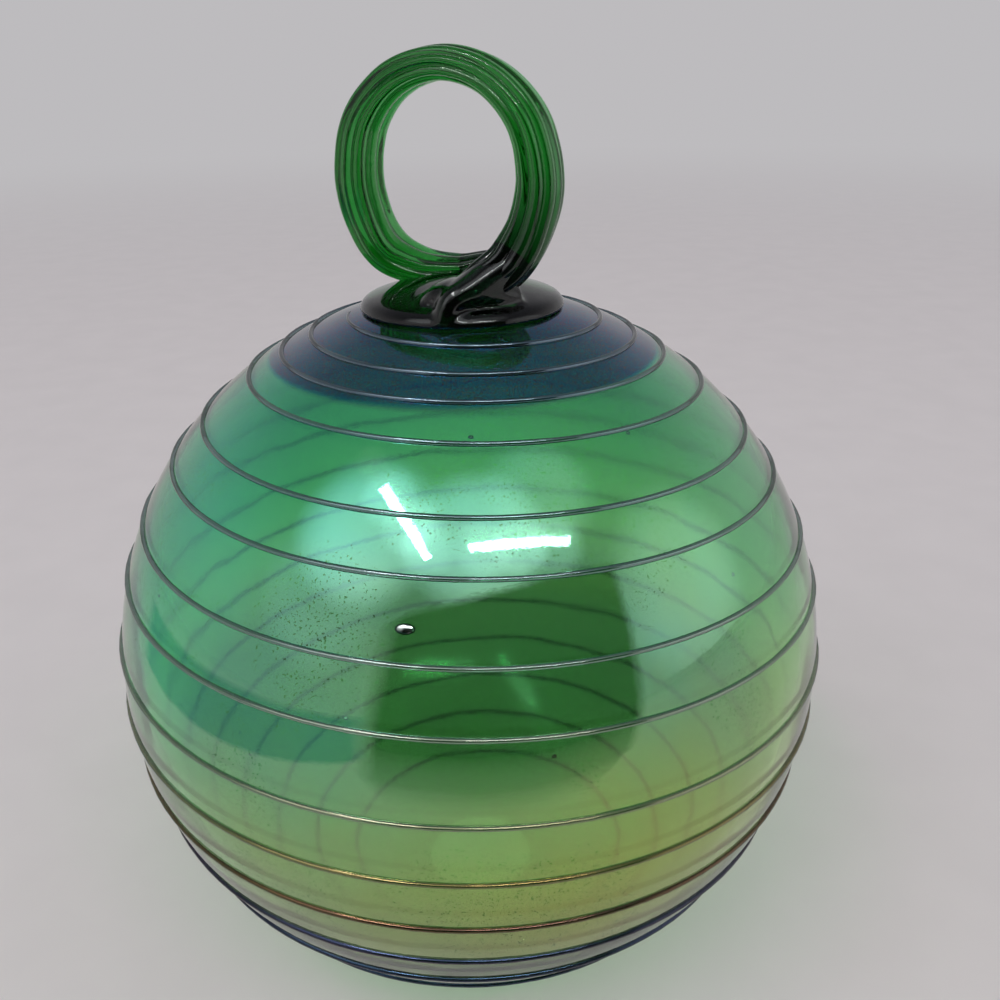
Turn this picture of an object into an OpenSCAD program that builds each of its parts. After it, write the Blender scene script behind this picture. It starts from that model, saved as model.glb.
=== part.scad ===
// Hand-blown glass ball ornament with a spiral glass thread and a hanging loop.
// Millimetres, +Z up. The origin is the centre of the flat that the ball stands on.

/* [Globe] */
// Outer diameter of the blown ball
globe_d = 100; // [60:1:140]
// Mean thickness of the blown wall
wall_t = 2; // [1.5:0.1:4]
// How far the hollow sits above the ball's centre, which leaves the bottom thicker
hollow_rise = 0.6; // [0:0.1:1]
// Diameter of the flat that the ball stands on
base_d = 18; // [12:0.5:24]
// Diameter of the hole left by the blowpipe, which the seal closes
blow_hole_d = 9; // [6:0.5:12]

/* [Thread] */
// Width of the glass thread where it lies on the ball
thread_w = 0.8; // [0.5:0.05:1.5]
// How far the thread stands out from the ball
thread_h = 0.45; // [0.3:0.05:1]
// Distance over the ball from the seal's edge to the first turn, where it crosses the front
first_turn_gap = 3.14; // [2.5:0.01:5]
// Drop of each turn below the last, in degrees of the ball, as the hand laid it
turn_drops = [6, 5, 6.5, 10, 7.5, 10.5, 8.5, 11.5, 9, 9, 9, 9, 9, 9, 9, 9];
// Lean of the winding down towards the right, in degrees
winding_lean = 0.5; // [0:0.1:1.5]

/* [Seal] */
// Diameter of the seal over the blow hole
seal_d = 27.4; // [24:0.2:34]
// Height of the seal's crown above the top of the ball
seal_h = 2.2; // [2:0.1:5]
// Radius of the seal's rounded edge
seal_edge_r = 2.2; // [1.6:0.1:3]
// How far the middle of that edge lies under the ball's surface
seal_edge_sink = 0.7; // [0.5:0.1:1.5]

/* [Loop] */
// Clear width of the loop's opening
loop_open_w = 19.2; // [14:0.2:24]
// Clear height of the loop's opening, above the strand that lies on the seal
loop_open_h = 20; // [16:0.5:28]
// Thickness of the strand, across the loop
strand_t = 5.6; // [4:0.1:7]
// Width of the strand, along the loop's axis
strand_w = 8; // [5:0.1:10]
// Ribs round the strand
rib_count = 9; // [6:1:12]
// How much thinner the strand is over the top of the loop, as a share of its thickness
top_thinning = 0.24; // [0:0.02:0.4]
// Depth of the grooves between the ribs
rib_depth = 0.5; // [0.2:0.1:0.8]
// Turn of the loop about the vertical, which brings its right side forward
loop_yaw = 20; // [0:1:30]
// Shift of the loop to the left of the ball's axis
loop_shift = 1.4; // [0:0.1:4]

/* [Hidden] */

// Pieces that are fused face to face stay this far apart
weld_gap = 0.05;

globe_r = globe_d / 2;
base_r = base_d / 2;
centre_z = sqrt(globe_r * globe_r - base_r * base_r);
pole_z = centre_z + globe_r;

// Seal: a gentle crown that runs into a rounded edge lying on the ball
seal_r = seal_d / 2;
edge_x = seal_r - seal_edge_r;
edge_z = centre_z + sqrt(globe_r * globe_r - edge_x * edge_x) - seal_edge_sink;
crown_z = pole_z + seal_h;
crown_drop = crown_z - edge_z;
crown_r = (edge_x * edge_x + crown_drop * crown_drop - seal_edge_r * seal_edge_r)
    / (2 * (crown_drop - seal_edge_r));

// Thread: one trail whose polar angle grows turn by turn, and which is thin at both ends
thread_start = 0.74;
thread_end = len(turn_drops) + 0.9;
tip_share = 0.35;
tip_rings = 8;
rings_per_turn = 40;
thread_rings = ceil((thread_end - thread_start) * rings_per_turn);
thread_lift = globe_r * (1 - cos(180 / rings_per_turn)) + weld_gap;
// The thread's section from its upper foot over its back to its lower foot, as shares of its
// width and height
thread_section = [[-0.5, 0], [-0.42, 0.55], [-0.16, 1], [0.16, 1], [0.42, 0.55], [0.5, 0]];

// Loop: it is drawn up out of the front of the seal, over, and down to lie across the back
half_w = (loop_open_w + strand_t) / 2;
half_h = (loop_open_h + strand_t) / 2;
loop_z = crown_z + half_h;
loop_rings = 84;
rib_facets = 4;
rib_square = 3;
// The strand's drift back over its open half turn, from the right side to the left
turn_drift = 1.8;
// How slowly the strand thins towards the top: 1 is even, and more keeps the sides thick
thinning_power = 1.5;
// Step along the rows over which the strand's direction is taken
tangent_step = 0.02;
// Rows down the middle of the strand, where it lies on the seal: [right, back] as shares of the
// seal's radius, height above its crown as a share of the strand's thickness, and the
// strand's own thickness and width as shares of full size
front_foot = [
    [0.2, -0.79, -0.82, 0.35, 0.35],
    [0.28, -0.65, -0.27, 0.7, 0.55],
    [0.47, -0.46, 0.09, 1, 0.75],
    [0.7, -0.29, 0.55, 1.1, 0.9]];
back_foot = [
    [-0.73, 0.26, 0.46, 0.95, 1.1],
    [-0.45, 0.38, 0.05, 0.8, 1.1],
    [-0.11, 0.51, -0.07, 0.7, 1],
    [0.18, 0.63, 0, 0.65, 0.85],
    [0.34, 0.7, -0.14, 0.6, 0.7],
    [0.38, 0.71, -0.69, 0.45, 0.5]];
// The same round the open part: right and height as shares of the loop's half sizes from its
// middle, and back in millimetres
open_turn = concat(
    [[0.95, -2.2, -0.42, 1.05, 1]],
    [for (a = [90 : -30 : -90])
        [sin(a), -turn_drift / 2 * a / 90, cos(a),
            1 - top_thinning * pow(cos(a), thinning_power), 1]],
    [[-0.96, 2, -0.46, 1, 1]]);
function on_seal(row) =
    [seal_r * row[0], seal_r * row[1], strand_t * row[2] - half_h, row[3], row[4]];
function round_loop(row) = [half_w * row[0], row[1], half_h * row[2], row[3], row[4]];
strand_path = concat([for (row = front_foot) on_seal(row)],
    [for (row = open_turn) round_loop(row)],
    [for (row = back_foot) on_seal(row)]);

// Sum of the first k numbers of a list
function sum_to(list, k) = k <= 0 ? 0 : list[k - 1] + sum_to(list, k - 1);
first_turn = asin(seal_r / globe_r) + first_turn_gap * 180 / PI / globe_r;
turn_polar = [for (k = [0 : len(turn_drops)]) first_turn + sum_to(turn_drops, k)];

// Value or row of a list at a fractional place, on a smooth curve through its entries
function entry(list, k) = k < 0 ? 2 * list[0] - list[1]
    : k >= len(list) ? 2 * list[len(list) - 1] - list[len(list) - 2]
    : list[k];
function smooth_at(list, s) =
    let (k = max(0, min(len(list) - 2, floor(s))), f = s - k,
        a = entry(list, k - 1), b = entry(list, k), c = entry(list, k + 1), d = entry(list, k + 2))
    b + 0.5 * f * (c - a + f * (2 * a - 5 * b + 4 * c - d + f * (3 * (b - c) + d - a)));

// Side faces and end caps of a tube made of rings with the same number of points
function tube_faces(rings, sides) = concat(
    [for (i = [0 : rings - 2], j = [0 : sides - 1])
        let (k = (j + 1) % sides)
        [i * sides + j, (i + 1) * sides + j, (i + 1) * sides + k, i * sides + k]],
    [[for (j = [0 : sides - 1]) j]],
    [[for (j = [sides - 1 : -1 : 0]) (rings - 1) * sides + j]]);

// A point beside the ball's centre, given by its polar angle and its turn from the front
function on_ball(polar, turn, r) =
    [r * sin(polar) * sin(turn), -r * sin(polar) * cos(turn), centre_z + r * cos(polar)];

// The thread runs round to the right as it comes down, turn 1 at the front
function thread_polar(t) = smooth_at(turn_polar, t - 1) + winding_lean * sin(360 * t);
function thread_ring(t, taper) =
    let (polar = thread_polar(t),
        span = taper * thread_w * 180 / PI / globe_r,
        height = taper * thread_h)
    [for (p = thread_section)
        on_ball(polar + p[0] * span, 360 * t, globe_r + thread_lift + p[1] * height)];

// The strand's middle at a fractional place in its rows
function strand_middle(s) =
    let (row = smooth_at(strand_path, s)) [row[0], row[1], row[2]];
function unit(v) = v / norm(v);
// Outline radius of the ribbed strand as a share of its half size, at angle a
function rib_radius(a) =
    pow(pow(abs(cos(a)), rib_square) + pow(abs(sin(a)), rib_square), -1 / rib_square);
function loop_ring(s) =
    let (row = smooth_at(strand_path, s),
        along = unit(strand_middle(s + tangent_step) - strand_middle(s - tangent_step)),
        out = unit(cross(along, [0, 1, 0])),
        wide = cross(along, out),
        t = strand_t / 2 * row[3],
        w = strand_w / 2 * row[4],
        sides = rib_count * rib_facets)
    [for (j = [0 : sides - 1])
        let (a = 360 * j / sides,
            groove = rib_depth * (1 - abs(sin(rib_count * a / 2))),
            r = rib_radius(a))
        strand_middle(s) + out * cos(a) * (t * r - groove) + wide * sin(a) * (w * r - groove)];

module globe() {
    color([0.16, 0.42, 0.36, 0.5])
    difference() {
        translate([0, 0, centre_z]) sphere(r = globe_r, $fn = 128);
        translate([0, 0, centre_z + hollow_rise]) sphere(r = globe_r - wall_t, $fn = 128);
        translate([0, 0, centre_z]) cylinder(h = globe_r + 1, d = blow_hole_d, $fn = 48);
        translate([-globe_r, -globe_r, -globe_r]) cube([globe_d, globe_d, globe_r]);
    }
}

module thread() {
    rings = [for (i = [0 : thread_rings])
        let (t = thread_start + (thread_end - thread_start) * i / thread_rings,
            taper = min(1, tip_share + min(i, thread_rings - i) / tip_rings))
        thread_ring(t, taper)];
    color([0.08, 0.14, 0.17])
    polyhedron(points = [for (ring = rings, p = ring) p],
        faces = tube_faces(len(rings), len(thread_section)), convexity = 12);
}

// Everything inside the seal's rounded outline, grown on all sides
module seal_outline(grow = 0) {
    crown_x = edge_x * (crown_r + grow) / (crown_r - seal_edge_r);
    rotate_extrude($fn = 128) {
        translate([edge_x, edge_z]) circle(r = seal_edge_r + grow, $fn = 64);
        intersection() {
            translate([0, crown_z - crown_r]) circle(r = crown_r + grow, $fn = 256);
            translate([0, edge_z]) square([crown_x, globe_r]);
        }
        translate([0, centre_z]) square([edge_x, edge_z + seal_edge_r / 2 - centre_z]);
    }
}

module seal() {
    color([0.05, 0.12, 0.10]) {
        difference() {
            seal_outline();
            translate([0, 0, centre_z]) sphere(r = globe_r + weld_gap, $fn = 128);
        }
        translate([0, 0, pole_z - wall_t])
            cylinder(h = wall_t + seal_h / 2, d = blow_hole_d - 2 * weld_gap, $fn = 48);
    }
}

module loop() {
    last = len(strand_path) - 1;
    rings = [for (i = [0 : loop_rings]) loop_ring(last * i / loop_rings)];
    color([0.06, 0.42, 0.12, 0.8])
    difference() {
        translate([-loop_shift, 0, loop_z]) rotate([0, 0, -loop_yaw])
            polyhedron(points = [for (ring = rings, p = ring) p],
                faces = tube_faces(len(rings), rib_count * rib_facets), convexity = 6);
        seal_outline(weld_gap);
    }
}

globe();
thread();
seal();
loop();
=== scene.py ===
import math

import bmesh
import bpy
from bpy.props import FloatProperty, FloatVectorProperty, IntProperty, PointerProperty
from mathutils import Matrix, Vector


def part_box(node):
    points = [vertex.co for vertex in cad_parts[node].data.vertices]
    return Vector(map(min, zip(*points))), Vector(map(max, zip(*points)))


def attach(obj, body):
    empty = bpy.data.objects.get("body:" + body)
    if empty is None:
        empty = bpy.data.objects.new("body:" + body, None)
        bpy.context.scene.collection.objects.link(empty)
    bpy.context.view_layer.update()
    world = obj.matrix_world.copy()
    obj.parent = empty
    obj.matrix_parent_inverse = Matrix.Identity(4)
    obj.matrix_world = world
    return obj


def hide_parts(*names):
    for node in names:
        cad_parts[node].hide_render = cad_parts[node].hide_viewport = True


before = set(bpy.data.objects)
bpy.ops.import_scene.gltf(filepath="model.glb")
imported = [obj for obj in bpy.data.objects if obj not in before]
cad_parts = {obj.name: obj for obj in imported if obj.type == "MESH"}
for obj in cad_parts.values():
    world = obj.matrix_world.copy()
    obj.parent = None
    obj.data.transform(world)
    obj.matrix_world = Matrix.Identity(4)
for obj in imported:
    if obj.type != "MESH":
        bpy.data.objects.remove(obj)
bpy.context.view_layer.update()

bl_info = {
    "name": "Glass ball ornament",
    "version": (1, 0, 0),
    "blender": (4, 5, 0),
    "location": "3D View > Sidebar > Ornament",
    "description": "A blown lustre glass ball with a spiral thread, a seal and a hanging loop",
    "category": "Add Mesh",
}

MM = 0.001
GLOBE_LOW, GLOBE_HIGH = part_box("globe")
SEAL_LOW, SEAL_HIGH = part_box("seal")
GLOBE_R = round((GLOBE_HIGH.x - GLOBE_LOW.x) / 2, 4)
SEAL_R = round((SEAL_HIGH.x - SEAL_LOW.x) / 2, 4)
BODY = "root"

# Drop of each turn of the thread below the last, in degrees of the ball, as the hand laid it
TURN_DROPS = (6, 5, 6.5, 10, 7.5, 10.5, 8.5, 11.5, 9, 9, 9, 9, 9, 9, 9, 9)

# Rows down the middle of the strand where it lies on the seal: right and back as shares of the
# seal's radius, height above its crown as a share of the strand's thickness, and the strand's
# own thickness and width as shares of full size
FRONT_FOOT = (
    (0.20, -0.79, -0.82, 0.35, 0.35),
    (0.28, -0.65, -0.27, 0.70, 0.55),
    (0.47, -0.46, 0.09, 1.00, 0.75),
    (0.70, -0.29, 0.55, 1.10, 0.90),
)
BACK_FOOT = (
    (-0.73, 0.26, 0.46, 0.95, 1.10),
    (-0.45, 0.38, 0.05, 0.80, 1.10),
    (-0.11, 0.51, -0.07, 0.70, 1.00),
    (0.18, 0.63, 0.00, 0.65, 0.85),
    (0.34, 0.70, -0.14, 0.60, 0.70),
    (0.38, 0.71, -0.69, 0.45, 0.50),
)

# The apron of soft glass that the front foot spreads over the seal
APRON = (
    (-0.02, -0.50, -0.30, 0.35, 0.60),
    (0.14, -0.52, -0.10, 0.55, 0.90),
    (0.44, -0.44, -0.04, 0.65, 1.00),
    (0.72, -0.22, -0.16, 0.40, 0.65),
)


# ---- sizes and colours


def a_length(name, description, default):
    return FloatProperty(
        name=name, description=description, default=default, subtype="DISTANCE", unit="LENGTH")


def an_angle(name, description, degrees):
    return FloatProperty(
        name=name, description=description, default=math.radians(degrees), subtype="ANGLE",
        unit="ROTATION")


def a_number(name, description, default, **limits):
    return FloatProperty(name=name, description=description, default=default, **limits)


def a_count(name, description, default):
    return IntProperty(name=name, description=description, default=default)


def a_place(name, description, default, **unit):
    return FloatVectorProperty(
        name=name, description=description, default=default, subtype="XYZ", **unit)


def a_colour(name, description, default):
    return FloatVectorProperty(
        name=name, description=description, default=default, subtype="COLOR", min=0, max=1)


class GlobeSizes(bpy.types.PropertyGroup):
    """The blown ball"""

    radius: a_length("Radius", "Outer radius of the ball", GLOBE_R)
    wall: a_length("Wall", "Mean thickness of the wall", 2 * MM)
    hollow_rise: a_length("Hollow rise", "How far the hollow sits above the ball's centre", 0.6 * MM)
    foot_radius: a_length("Foot radius", "Radius of the flat that the ball stands on", 9 * MM)
    foot_edge: a_length("Foot edge", "Radius of the fire-polished edge round the flat", 0.8 * MM)
    hole_radius: a_length("Blow hole radius", "Radius of the hole that the seal closes", 4.5 * MM)
    worn_place: a_place(
        "Worn place", "Middle of the patch where the lustre is worn to flecks",
        (-0.0165, -0.0405, 0.0731), unit="LENGTH")
    worn_reach: a_length("Worn reach", "Reach of the worn patch", 14 * MM)
    steps: a_count("Steps", "Facets round the ball", 224)


class ThreadSizes(bpy.types.PropertyGroup):
    """The trail of glass wound round the ball"""

    width: a_length("Width", "Width of the thread where it lies on the ball", 0.8 * MM)
    height: a_length("Height", "How far the thread stands out from the ball", 0.45 * MM)
    first_gap: a_length("First gap", "Distance over the ball from seal to first turn", 3.14 * MM)
    lean: an_angle("Lean", "Lean of the winding, down towards the right", 0.5)
    start: a_number("Start", "Turn at which the trail begins; turn 1 crosses the front", 0.74)
    unevenness: a_number(
        "Unevenness", "How much the thread's section varies along it", 0.16, min=0, max=0.5)
    rings_per_turn: a_count("Rings per turn", "Sections of the thread in each turn", 110)


class SealSizes(bpy.types.PropertyGroup):
    """The drop of glass that closes the blow hole"""

    radius: a_length("Radius", "Radius of the seal", SEAL_R)
    edge: a_length("Edge", "Radius of the rounded edge", 2.2 * MM)
    edge_sink: a_length(
        "Edge sink", "How far the middle of the edge lies under the ball's surface", 0.7 * MM)
    voxel: a_length("Grain", "Size of the cells in which seal and strand are fused", 0.24 * MM)
    fillet_passes: a_count("Fillet passes", "Smoothing passes that round the fused corners", 44)


class LoopSizes(bpy.types.PropertyGroup):
    """The ribbed strand bent into a hanging loop"""

    open_width: a_length("Open width", "Clear width of the loop", 19.2 * MM)
    open_height: a_length("Open height", "Clear height of the loop", 20 * MM)
    thickness: a_length("Thickness", "Thickness of the strand, across the loop", 5.6 * MM)
    width: a_length("Width", "Width of the strand, along the loop's axis", 8 * MM)
    ribs: a_count("Ribs", "Ribs round the strand", 9)
    rib_depth: a_length("Rib depth", "Depth of the grooves between the ribs", 0.5 * MM)
    top_thinning: a_number(
        "Top thinning", "How much thinner the strand is over the top", 0.24, min=0, max=0.4)
    turn_drift: a_length("Turn drift", "The strand's drift back over its open half turn", 1.8 * MM)
    yaw: an_angle("Yaw", "Turn of the loop that brings its right side forward", 20)
    shift: a_length("Shift", "Shift of the loop to the left of the ball's axis", 1.4 * MM)
    rings: a_count("Rings", "Sections along the strand", 340)


class SeedSizes(bpy.types.PropertyGroup):
    """Bubbles caught in the wall, and one burst in its skin"""

    density: a_number("Density", "Bubbles to each square metre of wall", 7000)
    size: a_length("Size", "Mean radius of a bubble", 0.13 * MM)
    depth: a_length("Depth", "Depth of the bubbles under the skin", 0.7 * MM)
    seed: a_count("Seed", "Seed of the scatter", 7)
    bubble_way: a_place(
        "Bubble way", "Way from the ball's centre to its one burst bubble", (-0.14, -0.858, 0.495))
    bubble_length: a_length("Bubble length", "Length of the burst bubble", 2.2 * MM)


class GlassColours(bpy.types.PropertyGroup):
    """Tints of the glass, as the share of light that each wall lets through"""

    body: a_colour("Body", "Emerald of the ball's wall", (0.285, 0.93, 0.42))
    low: a_colour("Low", "Yellow green of the ball's lower half", (0.66, 0.95, 0.44))
    crown: a_colour("Crown", "Dark slate of the ball round the seal", (0.09, 0.08, 0.065))
    thread: a_colour("Thread", "Dark green of the thread seen face on", (0.10, 0.20, 0.165))
    thread_rim: a_colour("Thread rim", "Dark slate of the thread seen edge on", (0.03, 0.07, 0.08))
    seal: a_colour("Seal", "Dark green of the seal", (0.22, 0.50, 0.33))
    loop: a_colour("Loop", "Emerald of the loop", (0.66, 0.97, 0.74))


class StageSettings(bpy.types.PropertyGroup):
    """Floor, light and camera"""

    floor_colour: a_colour("Floor", "Colour of the floor", (0.80, 0.74, 0.735))
    backdrop: a_colour("Backdrop", "Colour of the room behind the floor", (0.51, 0.50, 0.515))
    floor_radius: a_length("Floor radius", "Radius of the floor", 4.0)
    camera_place: a_place(
        "Camera place", "Where the camera stands", (0, -0.1303, 0.1269), unit="LENGTH")
    camera_aim: a_place("Camera aim", "What the camera looks at", (0.0045, 0, 0.0690), unit="LENGTH")
    camera_roll: an_angle("Camera roll", "Roll of the camera about its own axis", -1.075)
    lens: a_number("Lens", "Focal length in millimetres", 35.51)
    tube_height: a_length("Tube height", "Height of the two tube lights", 1.25)


# ---- building trees


class Tree:
    """Adds nodes to one tree. A value that is a socket is linked, and any other is set. Noise is
    laid over the tree's place."""

    def __init__(self, tree):
        self.tree = tree
        self.place = None

    def feed(self, socket, value):
        if isinstance(value, bpy.types.NodeSocket):
            self.tree.links.new(value, socket)
        elif socket.type == "RGBA":
            socket.default_value = (*value, 1.0)
        else:
            socket.default_value = value

    def add(self, kind, inputs=(), **settings):
        node = self.tree.nodes.new(kind)
        for name in settings:
            setattr(node, name, settings[name])
        for key, value in dict(inputs).items():
            self.feed(node.inputs[key], value)
        return node

    def out(self, kind, inputs=(), **settings):
        """The first output of a new node."""
        return self.add(kind, inputs, **settings).outputs[0]

    def math(self, operation, *values):
        return self.out("ShaderNodeMath", enumerate(values), operation=operation)

    def times(self, first, second):
        return self.math("MULTIPLY", first, second)

    def plus(self, first, second):
        return self.math("ADD", first, second)

    def minus(self, first, second):
        return self.math("SUBTRACT", first, second)

    def vector(self, operation, *values):
        node = self.add("ShaderNodeVectorMath", enumerate(values), operation=operation)
        return node.outputs["Value" if operation in ("LENGTH", "DOT_PRODUCT", "DISTANCE") else "Vector"]

    def scaled(self, vector, factor):
        return self.out("ShaderNodeVectorMath", {0: vector, "Scale": factor}, operation="SCALE")

    def position(self):
        return self.out("GeometryNodeInputPosition")

    def named(self, name, form="FLOAT"):
        return self.out("GeometryNodeInputNamedAttribute", {"Name": name}, data_type=form)

    def split(self, vector):
        return self.add("ShaderNodeSeparateXYZ", {0: vector}).outputs

    def range(self, value, low, high, to_low=0.0, to_high=1.0, smooth=False):
        return self.out(
            "ShaderNodeMapRange",
            {"Value": value, "From Min": low, "From Max": high, "To Min": to_low, "To Max": to_high},
            interpolation_type="SMOOTHSTEP" if smooth else "LINEAR")

    def noise(self, scale, detail=2.0, roughness=0.5, distortion=0.0):
        return self.out(
            "ShaderNodeTexNoise",
            {"Vector": self.place, "Scale": scale, "Detail": detail, "Roughness": roughness,
             "Distortion": distortion})

    def mix(self, factor, first, second, blend="MIX"):
        node = self.add(
            "ShaderNodeMix", {0: factor, 6: first, 7: second}, data_type="RGBA", blend_type=blend)
        return node.outputs[2]

    def curve(self, value, points):
        """A smooth curve through (place, height) points, with heights up to the film's top."""
        node = self.add("ShaderNodeFloatCurve", {"Value": value})
        line = node.mapping.curves[0]
        for _ in points[2:]:
            line.points.new(0.5, 0.5)
        for point, (x, y) in zip(line.points, points):
            point.location = (x, y / FILM_TOP)
        node.mapping.update()
        return self.times(node.outputs[0], FILM_TOP)


def new_group(name, inputs, outputs=None):
    """A node group with named sockets, returned with its ends. An input gives its default or, as
    text, its kind, and a group without listed outputs is one that shapes."""
    group = bpy.data.node_groups.new(name, "ShaderNodeTree" if outputs else "GeometryNodeTree")
    outputs = outputs or {"Geometry": "Geometry"}
    for socket, given in inputs.items():
        form = given if isinstance(given, str) else type(given).__name__.capitalize()
        made = group.interface.new_socket(socket, in_out="INPUT", socket_type="NodeSocket" + form)
        if form != given:
            made.default_value = given
    for socket, form in outputs.items():
        group.interface.new_socket(socket, in_out="OUTPUT", socket_type="NodeSocket" + form)
    tree = Tree(group)
    start = tree.add("NodeGroupInput").outputs
    end = tree.add("NodeGroupOutput").inputs
    return tree, start, end


def finish_shape(tree, made, geometry, *materials):
    """Ends a shape group: smooth shading, real geometry, and its materials with their selections."""
    shape = tree.out("GeometryNodeSetShadeSmooth", {"Geometry": geometry})
    shape = tree.out("GeometryNodeRealizeInstances", {"Geometry": shape})
    for material, chosen in materials:
        shape = tree.out(
            "GeometryNodeSetMaterial",
            {"Geometry": shape, "Selection": chosen, "Material": material})
    tree.feed(made[0], shape)
    return tree.tree


def made_once(maker):
    """The node group that a maker builds, named after it and made once."""
    name = maker.__name__.replace("_", " ").capitalize()
    return bpy.data.node_groups.get(name) or maker()


def keep_shape(piece):
    """Gives a piece the plain mesh that its modifiers make, and returns it."""
    evaluated = piece.evaluated_get(bpy.context.evaluated_depsgraph_get())
    mesh = bpy.data.meshes.new_from_object(evaluated)
    piece.modifiers.clear()
    old, piece.data = piece.data, mesh
    bpy.data.meshes.remove(old)
    mesh.name = piece.name
    return mesh


def run_nodes(piece, maker, values):
    """Runs a maker's node group on a piece, with values by socket name, and keeps the plain mesh."""
    group = made_once(maker)
    modifier = piece.modifiers.new("shape", "NODES")
    modifier.node_group = group
    sockets = {s.name: s.identifier for s in group.interface.items_tree if s.in_out == "INPUT"}
    for name, value in values.items():
        modifier[sockets[name]] = value
    mesh = keep_shape(piece)
    if mesh.materials and not mesh.materials[0]:
        mesh.materials.pop(index=0)


def new_piece(name, points, edges=(), faces=(), attributes=()):
    """An object at the origin with the given points, and named point attributes on them."""
    mesh = bpy.data.meshes.new(name)
    mesh.from_pydata([tuple(p) for p in points], edges, faces)
    for key, values in dict(attributes).items():
        if isinstance(values[0], (tuple, Vector)):
            attribute = mesh.attributes.new(key, "FLOAT_VECTOR", "POINT")
            attribute.data.foreach_set("vector", [c for v in values for c in v])
        else:
            attribute = mesh.attributes.new(key, "FLOAT", "POINT")
            attribute.data.foreach_set("value", values)
    piece = bpy.data.objects.new(name, mesh)
    bpy.context.scene.collection.objects.link(piece)
    return piece


def chain(count):
    return [(i, i + 1) for i in range(count - 1)]


def outline_piece(name, outline, **attributes):
    """An object that is one outline, given as right and up."""
    return new_piece(name, [(x, 0, z) for x, z in outline], chain(len(outline)), attributes=attributes)


# ---- places worked out from the sizes


def centre_z(globe):
    """Height of the ball's centre over the flat that it stands on."""
    return math.sqrt(globe.radius ** 2 - globe.foot_radius ** 2)


def smooth_at(rows, s):
    """The row at a fractional place, on a smooth curve through all rows."""
    k = max(0, min(len(rows) - 2, math.floor(s)))
    f = s - k

    def entry(i):
        if i < 0:
            return [2 * a - b for a, b in zip(rows[0], rows[1])]
        if i >= len(rows):
            return [2 * a - b for a, b in zip(rows[-1], rows[-2])]
        return rows[i]

    return [
        b + 0.5 * f * (c - a + f * (2 * a - 5 * b + 4 * c - d + f * (3 * (b - c) + d - a)))
        for a, b, c, d in zip(entry(k - 1), entry(k), entry(k + 1), entry(k + 2))]


def arc(centre, radius, start, end, count):
    """Points (right, up) on an arc between two angles in degrees."""
    angles = [math.radians(start + (end - start) * i / (count - 1)) for i in range(count)]
    return [(centre[0] + radius * math.cos(a), centre[1] + radius * math.sin(a)) for a in angles]


def thread_polar(settings, t):
    """Polar angle of the thread at turn t, in radians."""
    globe, thread, seal = settings.globe, settings.thread, settings.seal
    first = math.asin(seal.radius / globe.radius) + thread.first_gap / globe.radius
    turns = [[first + math.radians(sum(TURN_DROPS[:k]))] for k in range(len(TURN_DROPS) + 1)]
    return smooth_at(turns, t - 1)[0] + thread.lean * math.sin(math.tau * t)


# ---- node groups for shape


def turned_glass():
    """Turns an outline, drawn as right and up, about the vertical axis."""
    tree, given, made = new_group(
        "Turned glass", {"Outline": "Geometry", "Steps": 64, "Skin": "Material", "Bore": "Material"})
    place = tree.split(tree.position())
    flat = tree.out(
        "ShaderNodeCombineXYZ",
        {0: tree.minus(place[0], 1.0), 1: tree.times(place[2], -1.0)})
    outline = tree.out("GeometryNodeMeshToCurve", {"Mesh": given["Outline"]})
    section = tree.out("GeometryNodeSetPosition", {"Geometry": outline, "Position": flat})
    ring = tree.add("GeometryNodeCurvePrimitiveCircle", {"Resolution": given["Steps"], "Radius": 1.0})
    swept = tree.out(
        "GeometryNodeCurveToMesh", {"Curve": ring.outputs[0], "Profile Curve": section})
    merged = tree.out("GeometryNodeMergeByDistance", {"Geometry": swept, "Distance": 1e-6})
    outward = tree.out("GeometryNodeFlipFaces", {"Mesh": merged})
    bore = tree.math("GREATER_THAN", tree.named("inside"), 0.5)
    return finish_shape(tree, made, outward, (given["Skin"], True), (given["Bore"], bore))


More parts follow.
